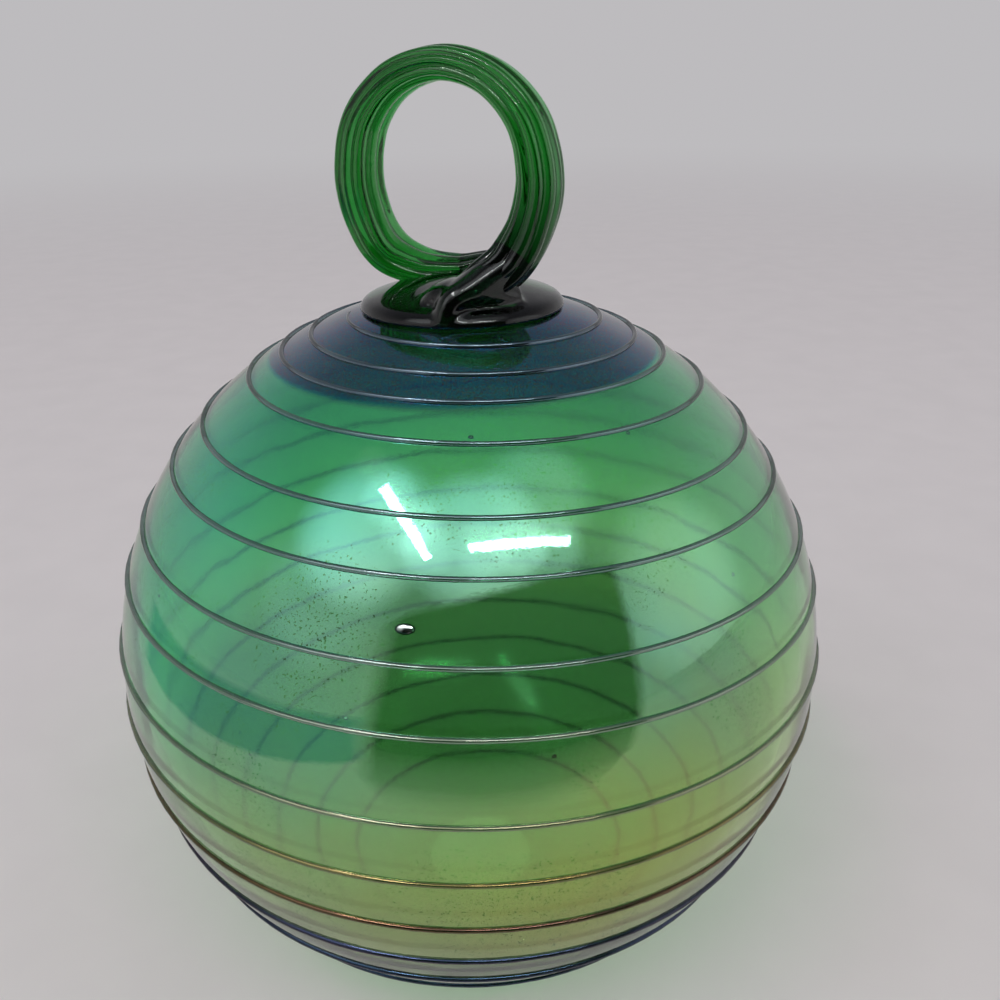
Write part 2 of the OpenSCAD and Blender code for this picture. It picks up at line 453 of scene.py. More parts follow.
def glass_strand():
    """Sweeps a ribbed, rounded section along a path whose points carry their own frame and sizes."""
    tree, given, made = new_group(
        "Glass strand",
        {"Path": "Geometry", "Sides": 48, "Ribs": 0, "Rib Depth": 0.0, "Squareness": 2.0,
         "Unevenness": 0.0, "Wavelength": 0.01, "Material": "Material"})
    count = tree.out("GeometryNodeAttributeDomainSize", {"Geometry": given["Path"]})
    segments = tree.minus(count, 1.0)
    tube = tree.out(
        "GeometryNodeMeshCylinder",
        {"Vertices": given["Sides"], "Side Segments": segments, "Radius": 1.0, "Depth": 1.0},
        fill_type="NGON")
    place = tree.split(tree.position())
    ring = tree.math("ROUND", tree.times(tree.plus(place[2], 0.5), segments))

    def carried(form, source):
        sample = tree.add("GeometryNodeSampleIndex", data_type=form)
        for key, value in (("Geometry", given["Path"]), ("Value", source), ("Index", ring)):
            tree.feed(sample.inputs[key], value)
        return sample.outputs[0]

    middle = carried("FLOAT_VECTOR", tree.position())
    outward, sideways = (
        carried("FLOAT_VECTOR", tree.named(name, "FLOAT_VECTOR")) for name in ("outward", "sideways"))
    half_high, half_wide, along = (
        carried("FLOAT", tree.named(name)) for name in ("half_high", "half_wide", "along"))

    angle = tree.math("ARCTAN2", place[1], place[0])
    cosine, sine = tree.math("COSINE", angle), tree.math("SINE", angle)
    power = given["Squareness"]
    corner = tree.plus(*(
        tree.math("POWER", tree.math("ABSOLUTE", side), power) for side in (cosine, sine)))
    rounding = tree.math("POWER", corner, tree.math("DIVIDE", -1.0, power))
    rib = tree.math("SINE", tree.times(angle, tree.times(given["Ribs"], 0.5)))
    valley = tree.minus(1.0, tree.math("ABSOLUTE", rib))
    groove = tree.times(given["Rib Depth"], valley)
    tree.place = middle
    wave = tree.noise(tree.math("DIVIDE", 1.0, given["Wavelength"]), 1.0)
    swell = tree.minus(1.0, tree.times(wave, tree.times(given["Unevenness"], 2.0)))

    def reach(half):
        size = tree.times(tree.times(half, swell), rounding)
        deep = tree.math("MINIMUM", groove, tree.times(half, 0.3))
        return tree.minus(size, deep)

    up = tree.scaled(outward, tree.times(cosine, reach(half_high)))
    across = tree.scaled(sideways, tree.times(sine, reach(half_wide)))
    target = tree.vector("ADD", middle, tree.vector("ADD", up, across))
    for name, value in (("along", along), ("groove", valley)):
        tube = tree.out(
            "GeometryNodeStoreNamedAttribute", {"Geometry": tube, "Name": name, "Value": value},
            data_type="FLOAT", domain="POINT")
    moved = tree.out("GeometryNodeSetPosition", {"Geometry": tube, "Position": target})
    return finish_shape(tree, made, moved, (given["Material"], True))


def wall_seeds():
    """Scatters flattened bubbles under a surface, each turned to lie along it."""
    tree, given, made = new_group(
        "Wall seeds",
        {"Surface": "Geometry", "Density": 1000.0, "Radius": 0.0001, "Depth": 0.0005, "Seed": 0,
         "Material": "Material"})
    scatter = tree.add(
        "GeometryNodeDistributePointsOnFaces",
        {"Mesh": given["Surface"], "Density": given["Density"], "Seed": given["Seed"]})
    sunk = tree.add(
        "GeometryNodeSetPosition",
        {"Geometry": scatter.outputs["Points"],
         "Offset": tree.scaled(scatter.outputs["Normal"], tree.times(given["Depth"], -1.0))})
    bubble = tree.out("GeometryNodeMeshUVSphere", {"Segments": 8, "Rings": 6, "Radius": 1.0})
    pick = tree.add("FunctionNodeRandomValue", {"Seed": given["Seed"]}, data_type="FLOAT")
    share = tree.math("POWER", pick.outputs[1], 3.0)
    radius = tree.times(given["Radius"], tree.math("MULTIPLY_ADD", share, 1.6, 0.45))
    shape = tree.out(
        "ShaderNodeCombineXYZ",
        {0: tree.times(radius, 1.25), 1: radius, 2: tree.times(radius, 0.6)})
    placed = tree.out(
        "GeometryNodeInstanceOnPoints",
        {"Points": sunk.outputs[0], "Instance": bubble, "Rotation": scatter.outputs["Rotation"],
         "Scale": shape})
    return finish_shape(tree, made, placed, (given["Material"], True))


# ---- node groups for looks


def blown_skin():
    """The skin of hand-worked glass: slow ripples, fine wrinkles and cloudy patches."""
    tree, given, made = new_group(
        "Blown skin",
        {"Place": "Vector", "Ripple": 0.1, "Wrinkle": 0.1, "Gloss": 0.02, "Cloud": 0.05},
        {"Roughness": "Float", "Normal": "Vector"})
    tree.place = given["Place"]
    ripple = tree.noise(60.0, 2.0, 0.45)
    wrinkle = tree.noise(900.0, 3.0, 0.6)
    patch = tree.range(tree.noise(38.0, 3.0, 0.6), 0.42, 0.68, smooth=True)
    rough = tree.math("MULTIPLY_ADD", patch, given["Cloud"], given["Gloss"])
    first = tree.out(
        "ShaderNodeBump", {"Strength": given["Ripple"], "Distance": 0.002, "Height": ripple})
    second = tree.out(
        "ShaderNodeBump",
        {"Strength": given["Wrinkle"], "Distance": 0.0001, "Height": wrinkle, "Normal": first})
    tree.feed(made["Roughness"], rough)
    tree.feed(made["Normal"], second)
    return tree.tree


def new_material(name):
    material = bpy.data.materials.new(name)
    material.use_nodes = True
    material.node_tree.nodes.clear()
    tree = Tree(material.node_tree)
    tree.place = tree.add("ShaderNodeTexCoord").outputs["Object"]
    return material, tree


def skin(tree, ripple, wrinkle, gloss, cloud):
    node = tree.add("ShaderNodeGroup", node_tree=made_once(blown_skin))
    for key, value in zip(("Place", "Ripple", "Wrinkle", "Gloss", "Cloud"),
                          (tree.place, ripple, wrinkle, gloss, cloud)):
        tree.feed(node.inputs[key], value)
    return node.outputs


def clear_glass(tree, tint, skin_of, film=()):
    """Clear glass with a tint and a skin, under a film if its thickness and index are given."""
    shader = tree.add(
        "ShaderNodeBsdfPrincipled",
        {"Base Color": tint, "Roughness": skin_of["Roughness"], "IOR": GLASS_IOR,
         "Transmission Weight": 1.0, "Normal": skin_of["Normal"]})
    for key, value in zip(("Thin Film Thickness", "Thin Film IOR"), film):
        tree.feed(shader.inputs[key], value)
    return shader.outputs[0]


def finish(tree, surface, depth=None):
    """Ends a material with its surface, and with an absorbing depth given as colour and density."""
    end = tree.add("ShaderNodeOutputMaterial", {"Surface": surface})
    if depth:
        inside = tree.add("ShaderNodeVolumeAbsorption", {"Color": depth[0], "Density": depth[1]})
        tree.feed(end.inputs["Volume"], inside.outputs[0])


def finish_thin(tree, surface):
    """Ends the material of a thin wall, which lamps reach through with a pale tint."""
    lamp = tree.add("ShaderNodeLightPath").outputs["Is Shadow Ray"]
    clear = tree.out("ShaderNodeBsdfTransparent", {"Color": LAMP_TINT})
    finish(tree, tree.out("ShaderNodeMixShader", {0: lamp, 1: surface, 2: clear}))


LAMP_TINT = (0.85, 0.99, 0.88)
# Tints of the wall seen at a slant, with painted shade on its upper part; painted shade on the wall
# under the seal and low down; the low turns; painted shade in the loop's grooves; and the loop's root
SLANT_AND_TOP_SHADE_GREEN = (0.08, 0.34, 0.13)
PAINTED_SHADE_GREEN = (0.01, 0.06, 0.015)
LOW_THREAD = (0.02, 0.04, 0.045)
GROOVE_SHADE_GREEN = (0.02, 0.10, 0.03)
ROOT_GREEN = (0.04, 0.10, 0.08)
# Colour and density of the light lost inside the thick glass
SEAL_DEPTH = ((0.0, 0.60, 0.25), 620.0)
LOOP_DEPTH = ((0.0, 0.66, 0.12), 500.0)
GLASS_IOR = 1.5
FILM_IOR = 2.3
# Top of the scale on which the film thicknesses are drawn, in nanometres
FILM_TOP = 300.0
# Thickness of the lustre in nanometres: against height as a share of the ball's, and on the crown
GLOBE_FILM = (
    (0.0, 215), (0.25, 204), (0.33, 199), (0.38, 197), (0.45, 194), (0.51, 187), (0.60, 176),
    (0.70, 168), (0.80, 166), (0.90, 166), (1.0, 165))
THREAD_FILM = (
    (0.0, 184), (0.24, 182), (0.31, 172), (0.38, 127), (0.46, 98), (0.52, 80), (0.60, 70),
    (0.70, 58), (0.85, 40), (1.0, 32))
CROWN_FILM = 137.0
CROWN_SPREAD = 45.0
# Turns of the thread that close the dark crown and that end the lustre
CROWN_TURN = 3
LUSTRE_END_TURN = 12


def height_share(tree, settings):
    globe = settings.globe
    return tree.math("DIVIDE", tree.split(tree.place)[2], centre_z(globe) + globe.radius)


def polar_of(tree, settings):
    """Angle from the ball's upward axis."""
    x, y, z = tree.split(tree.vector("SUBTRACT", tree.place, (0, 0, centre_z(settings.globe))))
    beside = tree.math("SQRT", tree.plus(tree.times(x, x), tree.times(y, y)))
    return tree.math("ARCTAN2", beside, z)


def crown_share(tree, settings):
    """1 inside the turn of the thread that closes the crown, 0 outside it."""
    edge = thread_polar(settings, CROWN_TURN)
    return tree.range(polar_of(tree, settings), edge + 0.022, edge + 0.002, smooth=True)


def above_last_turns(tree, settings):
    """1 above the turn that ends the lustre, 0 below it, with the border under the thread in front."""
    x, y, _ = tree.split(tree.place)
    around = tree.math("SINE", tree.math("ARCTAN2", x, tree.times(y, -1.0)))
    front, right = (thread_polar(settings, LUSTRE_END_TURN + part) for part in (0, 0.25))
    edge = tree.math("MULTIPLY_ADD", around, right - front, front)
    return tree.math("LESS_THAN", polar_of(tree, settings), edge)


def lustre(tree, settings, by_height, spread):
    """Thickness of the lustre over the ball's height, thicker to the right, with slow drifts."""
    height = height_share(tree, settings)
    film = tree.curve(height, by_height)
    side = tree.math("DIVIDE", tree.split(tree.place)[0], settings.globe.radius)
    lean = tree.times(side, tree.math("MULTIPLY_ADD", side, 16.0, 10.0))
    lean = tree.times(lean, tree.range(height, 0.36, 0.6, 0.3, 1.0))
    drift = tree.minus(tree.noise(26.0, 3.0, 0.55, 0.6), 0.5)
    return tree.plus(tree.math("MULTIPLY_ADD", drift, spread, film), lean)


def pinholes(tree):
    """1 where the lustre has a pinhole, 0 where it is whole; the holes come in patches."""
    patch = tree.range(tree.noise(38.0, 3.0, 0.6), 0.42, 0.68, smooth=True)
    grain = tree.noise(3200.0, 2.0, 0.7)
    return tree.times(tree.range(grain, 0.60, 0.66, smooth=True), patch)


def worn_flecks(tree, globe):
    """Flecks where the lustre is worn, close together in the middle of the patch."""
    worn = tree.vector("DISTANCE", tree.place, globe.worn_place)
    thin = tree.range(worn, globe.worn_reach, 0.0, smooth=True)
    edge = tree.math("MULTIPLY_ADD", thin, -0.11, 0.73)
    return tree.times(tree.math("GREATER_THAN", tree.noise(3600.0, 1.0), edge), thin)


def globe_tint(tree, settings):
    """Tint of the ball's wall: slate inside the first turns, emerald, and yellow green low down;
    painted light lifts the yellow green on the right, and painted shade darkens the upper part, the
    band under the seal and the bottom.
    """
    colours = settings.colours
    height = height_share(tree, settings)
    # Painted light: the lighter yellow green reaches higher on the right, so that side looks lit from
    # there
    right = tree.times(tree.split(tree.place)[0], -0.10 / settings.globe.radius)
    drift = tree.plus(right, tree.range(tree.noise(22.0), 0, 1, -0.12, 0.12))
    low = tree.range(tree.plus(height, drift), 0.68, 0.28, smooth=True)
    wall = tree.mix(low, colours.body, colours.low)
    # The upper part darkens: partly the longer path through the glass where the wall is seen at a
    # slant, partly painted shade
    facing = tree.add("ShaderNodeLayerWeight", {"Blend": 0.5}).outputs["Facing"]
    deep = tree.times(tree.range(facing, -0.2, 0.45), tree.range(height, 0.53, 0.75, 0, 0.6))
    wall = tree.mix(deep, wall, SLANT_AND_TOP_SHADE_GREEN)
    crown = crown_share(tree, settings)
    wall = tree.mix(tree.times(crown, 0.93), wall, colours.crown)
    # Painted shade: the wall darkens in a band just inside the first turn, under the seal, and towards
    # the bottom
    first = thread_polar(settings, 1)
    painted_seal_shade = tree.range(polar_of(tree, settings), first + 0.05, first - 0.02, smooth=True)
    foot = tree.range(height, 0.48, 0.30, smooth=True)
    shade = tree.math("MAXIMUM", tree.times(painted_seal_shade, 0.8), tree.times(foot, 0.62))
    return tree.mix(shade, wall, PAINTED_SHADE_GREEN)


def globe_skin_glass(settings):
    """Emerald glass under a lustre that runs from teal at the top to gold low down."""
    material, tree = new_material("lustre_glass")
    skin_of = skin(tree, 0.06, 0.05, 0.012, 0.05)
    film = tree.range(
        crown_share(tree, settings), 0, 1, lustre(tree, settings, GLOBE_FILM, 24.0),
        tree.range(
            tree.noise(4500.0, 1.0), 0, 1, CROWN_FILM - CROWN_SPREAD, CROWN_FILM + CROWN_SPREAD))
    film = tree.times(film, above_last_turns(tree, settings))
    gone = tree.math("MAXIMUM", pinholes(tree), worn_flecks(tree, settings.globe))
    film = tree.times(film, tree.math("LESS_THAN", gone, 0.25))
    finish_thin(tree, clear_glass(tree, globe_tint(tree, settings), skin_of, (film, FILM_IOR)))
    return material


def globe_bore_glass(settings):
    """The ball's inner wall: the same glass without the lustre."""
    material, tree = new_material("bore_glass")
    skin_of = skin(tree, 0.12, 0.0, 0.08, 0.04)
    finish_thin(tree, clear_glass(tree, globe_tint(tree, settings), skin_of))
    return material


def thread_glass(settings):
    """Dark slate glass of the thread under a thin silvery lustre that turns gold and navy low down."""
    material, tree = new_material("slate_thread")
    skin_of = skin(tree, 0.0, 0.1, 0.02, 0.04)
    shade = tree.range(tree.noise(140.0), 0.3, 0.7, 0.85, 1.0)
    facing = tree.add("ShaderNodeLayerWeight", {"Blend": 0.5}).outputs["Facing"]
    rim = tree.range(tree.times(facing, shade), 0.45, 0.68, smooth=True)
    tint = tree.mix(rim, settings.colours.thread, settings.colours.thread_rim)
    height = height_share(tree, settings)
    tint = tree.mix(tree.range(height, 0.52, 0.38, smooth=True), tint, LOW_THREAD)
    film = tree.plus(tree.times(tree.noise(60.0), 8.0), tree.curve(height, THREAD_FILM))
    film = tree.times(film, tree.math("LESS_THAN", rim, 0.6))
    film_index = tree.range(height, 0.30, 0.52, 1.68, 2.1)
    finish_thin(tree, clear_glass(tree, tint, skin_of, (film, film_index)))
    return material


def seal_glass(settings):
    """Thick dark glass of the seal."""
    material, tree = new_material("dark_seal")
    skin_of = skin(tree, 0.15, 0.1, 0.02, 0.06)
    shade = tree.noise(160.0, 3.0)
    base = settings.colours.seal
    tint = tree.mix(tree.range(shade, 0.35, 0.65), base, [0.75 * c for c in base])
    finish(tree, clear_glass(tree, tint, skin_of), SEAL_DEPTH)
    return material


def loop_glass(settings):
    """Clear emerald glass of the loop, darker where it lies on the seal, with painted shade in its
    grooves.
    """
    material, tree = new_material("emerald_loop")
    skin_of = skin(tree, 0.05, 0.04, 0.0, 0.02)
    along = tree.add("ShaderNodeAttribute", attribute_name="along").outputs["Fac"]
    root = tree.range(along, 5.9, 3.2, smooth=True)
    tail = tree.range(along, 15.4, 16.4, smooth=True)
    dark = tree.math("MAXIMUM", root, tail)
    groove = tree.add("ShaderNodeAttribute", attribute_name="groove").outputs["Fac"]
    # Painted shade: the tint darkens in the grooves between the ribs
    groove_shade = tree.times(tree.range(groove, 0.55, 1.0, smooth=True), 0.8)
    clear = tree.mix(groove_shade, settings.colours.loop, GROOVE_SHADE_GREEN)
    tint = tree.mix(tree.times(dark, 0.97), clear, ROOT_GREEN)
    finish(tree, clear_glass(tree, tint, skin_of), LOOP_DEPTH)
    return material


def seed_glass():
    """Mirror skin that stands for a bubble in the wall, with painted glints from dark to bright."""
    material, tree = new_material("seed")
    painted_glint = tree.range(tree.noise(420.0, 1.0), 0.44, 0.62, smooth=True)
    tint = tree.mix(painted_glint, (0.02, 0.06, 0.04), (0.90, 0.97, 0.92))
    rough = tree.range(tree.noise(1500.0, 2.0), 0.3, 0.7, 0.04, 0.16)
    shader = tree.add(
        "ShaderNodeBsdfPrincipled", {"Base Color": tint, "Roughness": rough, "Metallic": 1.0})
    finish(tree, shader.outputs[0])
    return material


# ---- paths of the strands


def loop_middle(loop):
    """Half the width and half the height of the loop, to the middle of its strand."""
    return (loop.open_width + loop.thickness) / 2, (loop.open_height + loop.thickness) / 2


def on_seal(settings, row):
    """A row given by shares of the seal, in metres from the middle of the loop."""
    seal, loop = settings.seal, settings.loop
    height = loop.thickness * row[2] - loop_middle(loop)[1]
    return seal.radius * row[0], seal.radius * row[1], height, row[3], row[4]


def strand_rows(settings):
    """Rows down the middle of the loop's strand: place, thickness and width, before the yaw."""
    loop = settings.loop
    half_w, half_h = loop_middle(loop)
    rows = [on_seal(settings, row) for row in FRONT_FOOT]
    rows.append((0.95 * half_w, -2.2 * MM, -0.42 * half_h, 1.05, 1))
    for degrees in range(90, -91, -30):
        a = math.radians(degrees)
        thin = 1 - loop.top_thinning * max(0.0, math.cos(a)) ** 1.5
        drift = -loop.turn_drift / 2 * degrees / 90
        rows.append((half_w * math.sin(a), drift, half_h * math.cos(a), thin, 1))
    rows.append((-0.96 * half_w, 2 * MM, -0.46 * half_h, 1, 1))
    return rows + [on_seal(settings, row) for row in BACK_FOOT]


def strand_object(name, sections):
    """An object whose points run down a strand. Each section gives its middle, the ways out and
    aside, half its height and width, and how far along it lies."""
    points, *values = zip(*sections)
    keys = ("outward", "sideways", "half_high", "half_wide", "along")
    return new_piece(name, points, chain(len(points)), attributes=dict(zip(keys, values)))


def strand_path(name, settings, rows, start, end, rings, high_share=(1, 1), wide_share=(1, 1)):
    """An object whose points run down a strand between two rows, with frame and sizes on each."""
    loop = settings.loop
    centre = Vector((-loop.shift, 0, SEAL_HIGH.z + loop_middle(loop)[1]))
    place = Matrix.Translation(centre) @ Matrix.Rotation(-loop.yaw, 4, "Z")
    turn = place.to_3x3()
    sections = []
    step = 0.02
    for i in range(rings):
        f = i / (rings - 1)
        s = start + (end - start) * f
        row = smooth_at(rows, s)
        ahead = Vector(smooth_at(rows, s + step)[:3]) - Vector(smooth_at(rows, s - step)[:3])
        ahead.normalize()
        out = ahead.cross(Vector((0, 1, 0))).normalized()
        high = loop.thickness / 2 * row[3] * (high_share[0] * (1 - f) + high_share[1] * f)
        wide = loop.width / 2 * row[4] * (wide_share[0] * (1 - f) + wide_share[1] * f)
        sections.append((place @ Vector(row[:3]), turn @ out, turn @ ahead.cross(out), high, wide, s))
    return strand_object(name, sections)


def thread_path(settings):
    """An object whose points run down the thread on the ball, with frame and sizes on each."""
    globe, thread = settings.globe, settings.thread
    centre = Vector((0, 0, centre_z(globe)))
    end = len(TURN_DROPS) + 0.9
    rings = math.ceil((end - thread.start) * thread.rings_per_turn)
    tip = 20
    ways = []
    for i in range(rings + 1):
        t = thread.start + (end - thread.start) * i / rings
        polar, turn = thread_polar(settings, t), math.tau * t
        ways.append(Vector((
            math.sin(polar) * math.sin(turn), -math.sin(polar) * math.cos(turn), math.cos(polar))))
    points = [centre + out * globe.radius for out in ways]
    sections = []
    for i, out in enumerate(ways):
        ahead = points[min(i + 1, rings)] - points[max(i - 1, 0)]
        aside = ahead.normalized().cross(out).normalized()
        taper = min(1.0, 0.3 + min(i, rings - i) / tip)
        sections.append((
            points[i], out, aside, thread.height * taper, thread.width / 2 * taper, i / rings))
    return strand_object("spiral_thread", sections)


def globe_outline(globe):
    """The wall's outline from the middle of the flat up to the blow hole and down the hollow."""
    z = centre_z(globe)
    outer, inner = globe.radius, globe.radius - globe.wall
    rise = z + globe.hollow_rise
    # The fire-polished edge is an arc that touches the flat and the ball from inside
    edge = globe.foot_edge
    reach = outer - edge
    edge_x = math.sqrt(reach ** 2 - (z - edge) ** 2)
    edge_end = math.degrees(math.atan2(edge - z, edge_x))
    hole = math.degrees(math.acos(globe.hole_radius / outer))
    hole_inner = math.degrees(math.acos(globe.hole_radius / inner))
    outline = [(edge_x * i / 4, 0.0) for i in range(4)]
    outline += arc((edge_x, edge), edge, -90, edge_end, 8)
    outline += arc((0, z), outer, edge_end, hole, 112)[1:]
    skin_count = len(outline)
    outline += arc((0, rise), inner, hole_inner, -90, 104)
    outline[-1] = (0.0, rise - inner)
    return outline, [0.0] * skin_count + [1.0] * (len(outline) - skin_count)


def seal_outline(settings):
    """The seal's outline from its underside, round the edge and over the crown to the axis."""
    seal, globe = settings.seal, settings.globe
    z = centre_z(globe)
    edge_x = seal.radius - seal.edge
    edge_z = z + math.sqrt(globe.radius ** 2 - edge_x ** 2) - seal.edge_sink
    crown = SEAL_HIGH.z
    drop = crown - edge_z
    crown_r = (edge_x ** 2 + drop ** 2 - seal.edge ** 2) / (2 * (drop - seal.edge))
    crown_end = math.degrees(math.atan2(edge_z - (crown - crown_r), edge_x))
    on_ball = globe.radius + 0.03 * MM
    foot = edge_x + seal.edge * 0.86
    foot_angle = math.degrees(math.acos(foot / on_ball))
    outline = arc((0, z), on_ball, 90, foot_angle, 24)
    outline[0] = (0.0, z + on_ball)
    start = math.degrees(math.atan2(outline[-1][1] - edge_z, outline[-1][0] - edge_x))
    outline += arc((edge_x, edge_z), seal.edge, start, crown_end, 14)[1:]
    outline += arc((0, crown - crown_r), crown_r, crown_end, 90, 30)[1:]
    outline[-1] = (0.0, crown)
    return outline


# ---- operators


def fuse(pieces, grain, passes, glass):
    """Melts pieces into the first of them, and rounds the corners where they meet."""
    melt = bmesh.new()
    for piece in pieces:
        melt.from_mesh(piece.data)
    melt.to_mesh(pieces[0].data)
    melt.free()
    for piece in pieces[1:]:
        bpy.data.objects.remove(piece)
    body = pieces[0]
    remesh = body.modifiers.new("melt", "REMESH")
    remesh.mode = "VOXEL"
    remesh.voxel_size = grain
    remesh.use_smooth_shade = True
    smooth = body.modifiers.new("round", "SMOOTH")
    smooth.factor = 0.5
    smooth.iterations = passes
    mesh = keep_shape(body)
    mesh.materials.clear()
    mesh.materials.append(glass)
    mesh.polygons.foreach_set("material_index", [0] * len(mesh.polygons))


def settled(piece, slot, *nodes):
    """Attaches a finished piece to its body and hides the CAD parts that it stands for; the slot is not
    used.
    """
    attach(piece, BODY)
    if nodes:
        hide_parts(*nodes)


class ORNAMENT_OT_globe(bpy.types.Operator):
    """Blow the ball: a lustred skin, a bore and a flat to stand on"""

    bl_idname = "ornament.globe"
    bl_label = "Blow globe"

    def execute(self, context):
        settings = context.scene.ornament
        outline, inside = globe_outline(settings.globe)
        piece = outline_piece("globe_shell", outline, inside=inside)
        run_nodes(piece, turned_glass, {
            "Steps": settings.globe.steps, "Skin": globe_skin_glass(settings),
            "Bore": globe_bore_glass(settings)})
        settled(piece, "globe_glass", "globe")
        return {"FINISHED"}


class ORNAMENT_OT_thread(bpy.types.Operator):
    """Wind the thread round the ball, from beside the seal down to the flat"""

    bl_idname = "ornament.thread"
    bl_label = "Wind thread"

    def execute(self, context):
        settings = context.scene.ornament
        piece = thread_path(settings)
        run_nodes(piece, glass_strand, {
            "Sides": 12, "Unevenness": settings.thread.unevenness, "Wavelength": 6 * MM,
            "Material": thread_glass(settings)})
        settled(piece, "thread_glass", "thread")
        return {"FINISHED"}


class ORNAMENT_OT_seal(bpy.types.Operator):
    """Drop the seal on the blow hole and fuse both feet of the strand into it"""

    bl_idname = "ornament.seal"
    bl_label = "Drop seal"

    def execute(self, context):
        settings = context.scene.ornament
        glass = seal_glass(settings)
        piece = outline_piece("seal_drop", seal_outline(settings))
        run_nodes(piece, turned_glass, {"Steps": 96, "Skin": glass, "Bore": glass})
        rows = strand_rows(settings)
        apron = [on_seal(settings, row) for row in APRON]
        roots = (
            strand_path("apron", settings, apron, 0, len(apron) - 1, 60),
            strand_path("front_root", settings, rows, 0, 3.2, 60, (1.2, 0.74), (2.0, 0.70)),
            strand_path("back_root", settings, rows, 15, len(rows) - 1, 60, (0.80, 1.1), (0.80, 1.3)))
        for root in roots:
            run_nodes(root, glass_strand, {"Sides": 40, "Squareness": 2.3, "Material": glass})
        fuse([piece, *roots], settings.seal.voxel, settings.seal.fillet_passes, glass)
        settled(piece, "seal_glass", "seal")
        return {"FINISHED"}


class ORNAMENT_OT_loop(bpy.types.Operator):
    """Draw the ribbed strand up out of the seal, over, and down across its back"""

    bl_idname = "ornament.loop"
    bl_label = "Draw loop"

    def execute(self, context):
        settings = context.scene.ornament
        loop = settings.loop
        rows = strand_rows(settings)
        piece = strand_path("hanging_loop", settings, rows, 1, len(rows) - 2, loop.rings)
        run_nodes(piece, glass_strand, {
            "Sides": loop.ribs * 12, "Ribs": loop.ribs, "Rib Depth": loop.rib_depth,
            "Squareness": 3.0, "Unevenness": 0.03, "Wavelength": 5 * MM,
            "Material": loop_glass(settings)})
        settled(piece, "loop_glass", "loop")
        return {"FINISHED"}


class ORNAMENT_OT_seeds(bpy.types.Operator):
    """Scatter seeds through the ball's wall, and burst one in its skin"""

    bl_idname = "ornament.seeds"
    bl_label = "Scatter seeds"

    def execute(self, context):
        settings = context.scene.ornament
        globe, seeds = settings.globe, settings.seeds
        piece = outline_piece("wall_seeds", arc((0, centre_z(globe)), globe.radius, -74, 70, 40))
        glass = seed_glass()
        run_nodes(piece, turned_glass, {"Steps": 64, "Skin": glass, "Bore": glass})
        run_nodes(piece, wall_seeds, {
            "Density": seeds.density, "Radius": seeds.size, "Depth": seeds.depth,
            "Seed": seeds.seed, "Material": glass})
        self.add_bubble(piece, settings)
        settled(piece, "globe_glass")
        return {"FINISHED"}

    def add_bubble(self, piece, settings):
        """Adds one large burst bubble, a flat oval that breaks the skin."""
        globe, seeds = settings.globe, settings.seeds
        out = Vector(seeds.bubble_way).normalized()
        side = Vector((0, 0, 1)).cross(out).normalized()
        turn = Matrix((side, out.cross(side), out)).transposed().to_4x4()
        spot = Vector((0, 0, centre_z(globe))) + out * (globe.radius - 0.2 * MM)
        half = seeds.bubble_length / 2
        size = Matrix.Diagonal((half, 0.55 * half, 0.3 * MM, 1))
        grown = bmesh.new()
        grown.from_mesh(piece.data)
        bmesh.ops.create_uvsphere(
            grown, u_segments=32, v_segments=20, radius=1.0,
            matrix=Matrix.Translation(spot) @ turn @ size)
        for face in grown.faces:
            face.smooth = True
        # The sphere comes in an order that changes from run to run, so the order is set by place
        for parts, place in (
                (grown.verts, lambda vert: vert.co[:]),
                (grown.faces, lambda face: face.calc_center_median()[:])):
            rank = {part: i for i, part in enumerate(sorted(parts, key=place))}
            parts.sort(key=rank.get)
        grown.to_mesh(piece.data)
        grown.free()


def flag(name, rows, level, edge):
    """A soft-edged card of even brightness that only reflections show. Each row runs left to right."""
    points, cover, across = [], [], 12
    for left, right, strength in rows:
        for i in range(across + 1):
            f = i / across
            points.append(Vector(left).lerp(Vector(right), f))
            side = min(1.0, min(f, 1 - f) / edge)
            cover.append(strength * side * side * (3 - 2 * side))
    wide = across + 1
    faces = [(j * wide + i, j * wide + i + 1, (j + 1) * wide + i + 1, (j + 1) * wide + i)
             for j in range(len(rows) - 1) for i in range(across)]
    card = new_piece(name, points, faces=faces, attributes={"cover": cover})
    material, tree = new_material(name)
    seen = tree.add("ShaderNodeAttribute", attribute_name="cover").outputs["Fac"]
    shade = tree.mix(tree.noise(9.0), [0.8 * c for c in level], level)
    glow = tree.out("ShaderNodeEmission", {"Color": shade})
    clear = tree.out("ShaderNodeBsdfTransparent")
    finish(tree, tree.out("ShaderNodeMixShader", {0: seen, 1: clear, 2: glow}))
    card.data.materials.append(material)
    for ray in ("camera", "diffuse", "transmission", "shadow", "volume_scatter"):
        setattr(card, "visible_" + ray, False)


def tube_light(name, first, second, width, radiance):
    """A flat bright tube between two points of the same height, facing down."""
    first, second = Vector(first), Vector(second)
    middle, span = (first + second) / 2, second - first
    light = bpy.data.lights.new(name, "AREA")
    light.shape = "RECTANGLE"
    light.size, light.size_y = span.length, width
    light.energy = radiance * math.pi * span.length * width
    holder = bpy.data.objects.new(name, light)
    bpy.context.scene.collection.objects.link(holder)
    turn = Matrix.Rotation(math.atan2(span.y, span.x), 4, "Z")
    holder.matrix_world = Matrix.Translation(middle) @ turn


# Ways to the small glows beside the tubes
TUBE_GLOWS = (
    (-0.38, -0.30, 0.87), (-0.30, -0.47, 0.83), (-0.22, -0.60, 0.77),
    (0.06, -0.61, 0.78), (0.25, -0.58, 0.77), (0.42, -0.54, 0.73))
# Soft glows in the room: way, reach in degrees and brightness
ROOM_GLOWS = (
    ((-0.50, -0.42, 0.76), 25, 1.2),
    ((0.03, -0.58, 0.81), 24, 1.2),
    ((-0.70, -0.52, 0.48), 24, 0.3),
    ((0.92, -0.26, 0.30), 28, 0.5),
    ((0.34, -0.30, 0.89), 18, 0.4),
    *((way, 10, 0.6) for way in TUBE_GLOWS),
)


